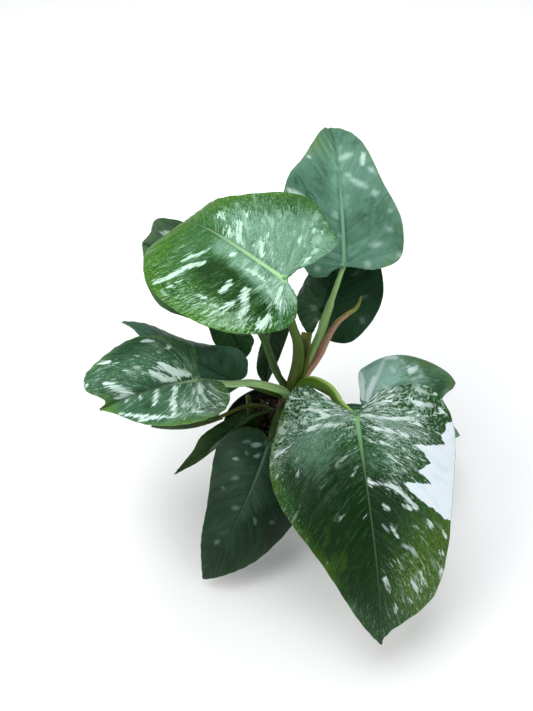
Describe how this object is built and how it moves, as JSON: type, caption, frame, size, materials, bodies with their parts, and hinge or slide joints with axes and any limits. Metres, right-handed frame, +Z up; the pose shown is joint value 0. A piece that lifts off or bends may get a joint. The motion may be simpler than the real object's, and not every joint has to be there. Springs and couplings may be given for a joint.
{
  "type": "potted variegated philodendron",
  "caption": "House plant with heart-shaped green leaves splashed and streaked with white and mint, on long green stalks that rise from one stem in a round black nursery pot.",
  "frame": {"origin": "centre of the pot's flat bottom, on the surface it stands on", "axes": "+Z up along the pot's axis, -Y towards the side with the largest leaf, +X to that side's right"},
  "size_m": [0.384, 0.4268, 0.3272],
  "materials": {
    "pot_plastic": "satin",
    "potting_mix": "matte",
    "stem_bark": "matte",
    "shoot_green": "satin",
    "petiole_green": "satin",
    "sheath_olive": "satin",
    "cataphyll_pink": "satin",
    "cataphyll_green": "satin",
    "leaf_green": "satin",
    "leaf_grey_green": "satin",
    "leaf_dark_green": "satin"
  },
  "bodies": {
    "root": {"pot": "pot_plastic", "potting_mix": "potting_mix", "main_stem": "stem_bark", "young_shoot": "shoot_green", "second_shoot": "shoot_green", "front_petiole": "petiole_green", "front_blade": "leaf_green", "low_front_petiole": "petiole_green", "low_front_blade": "leaf_dark_green", "left_front_petiole": "petiole_green", "left_front_blade": "leaf_green", "left_rear_petiole": "petiole_green", "left_rear_blade": "leaf_dark_green", "upper_left_petiole": "petiole_green", "upper_left_blade": "leaf_green", "behind_upper_petiole": "petiole_green", "behind_upper_blade": "leaf_grey_green", "top_petiole": "petiole_green", "top_blade": "leaf_grey_green", "rear_right_petiole": "petiole_green", "rear_right_blade": "leaf_dark_green", "right_petiole": "petiole_green", "right_blade": "leaf_grey_green", "hanging_petiole": "petiole_green", "hanging_blade": "leaf_dark_green", "inner_petiole": "petiole_green", "inner_blade": "leaf_dark_green", "narrow_petiole": "petiole_green", "narrow_blade": "leaf_dark_green", "old_petiole": "petiole_green", "old_blade": "leaf_dark_green", "leaf_sheath": "sheath_olive", "cataphyll": "cataphyll_pink", "cataphyll_tip": "cataphyll_green"}
  },
  "joints": []
}
